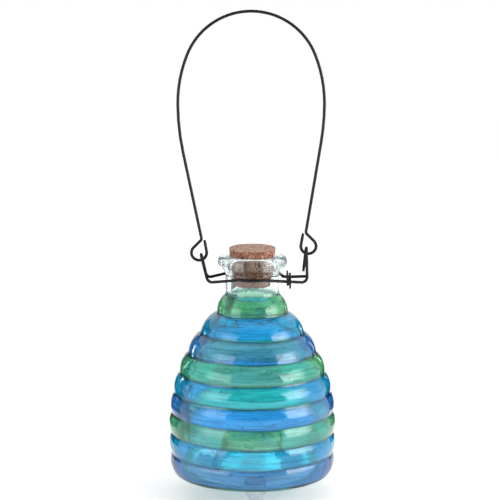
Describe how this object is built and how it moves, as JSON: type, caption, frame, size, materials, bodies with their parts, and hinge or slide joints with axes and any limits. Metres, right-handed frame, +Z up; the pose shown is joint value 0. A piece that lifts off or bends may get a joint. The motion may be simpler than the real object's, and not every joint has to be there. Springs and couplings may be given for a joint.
{
  "type": "hanging wasp trap",
  "caption": "Beehive-shaped ribbed glass wasp trap on small glass feet, with a bottom entry funnel, cork stopper, wire collar and swinging wire bail.",
  "frame": {"origin": "on the bottle's axis, in the plane its three feet stand on", "axes": "+Z up along the bottle's axis; -Y the front; +X to the right, and the bail's wire lies in the XZ plane at rest"},
  "size_m": [0.1222, 0.1222, 0.351],
  "materials": {
    "blue_glass": "transparent stained glass, bands of azure, violet-blue and green, glossy",
    "clear_glass": "clear glossy glass",
    "cork": "pressed cork granules, matt",
    "black_wire": "satin black coated steel wire"
  },
  "bodies": {
    "bottle": {"bottle": "blue_glass", "foot_front": "clear_glass", "foot_rear_left": "clear_glass", "foot_rear_right": "clear_glass"},
    "cork": {"cork_stopper": "cork"},
    "collar": {"collar_wire": "black_wire", "collar_tie": "black_wire"},
    "bail": {"bail_handle": "black_wire"}
  },
  "joints": [
    {"name": "cork_pull", "type": "slide", "parent": "bottle", "child": "cork", "axis": [0, 0, 1], "range_m": [0, 0.032]},
    {"name": "collar_swivel", "type": "hinge", "parent": "bottle", "child": "collar", "pos_m": [0, 0, 0.1598], "axis": [0, 0, 1], "continuous": true},
    {"name": "bail_swing", "type": "hinge", "parent": "collar", "child": "bail", "pos_m": [0.001, 0, 0.1735], "axis": [0.998, 0, 0.063], "range_deg": [-130, 130]}
  ]
}
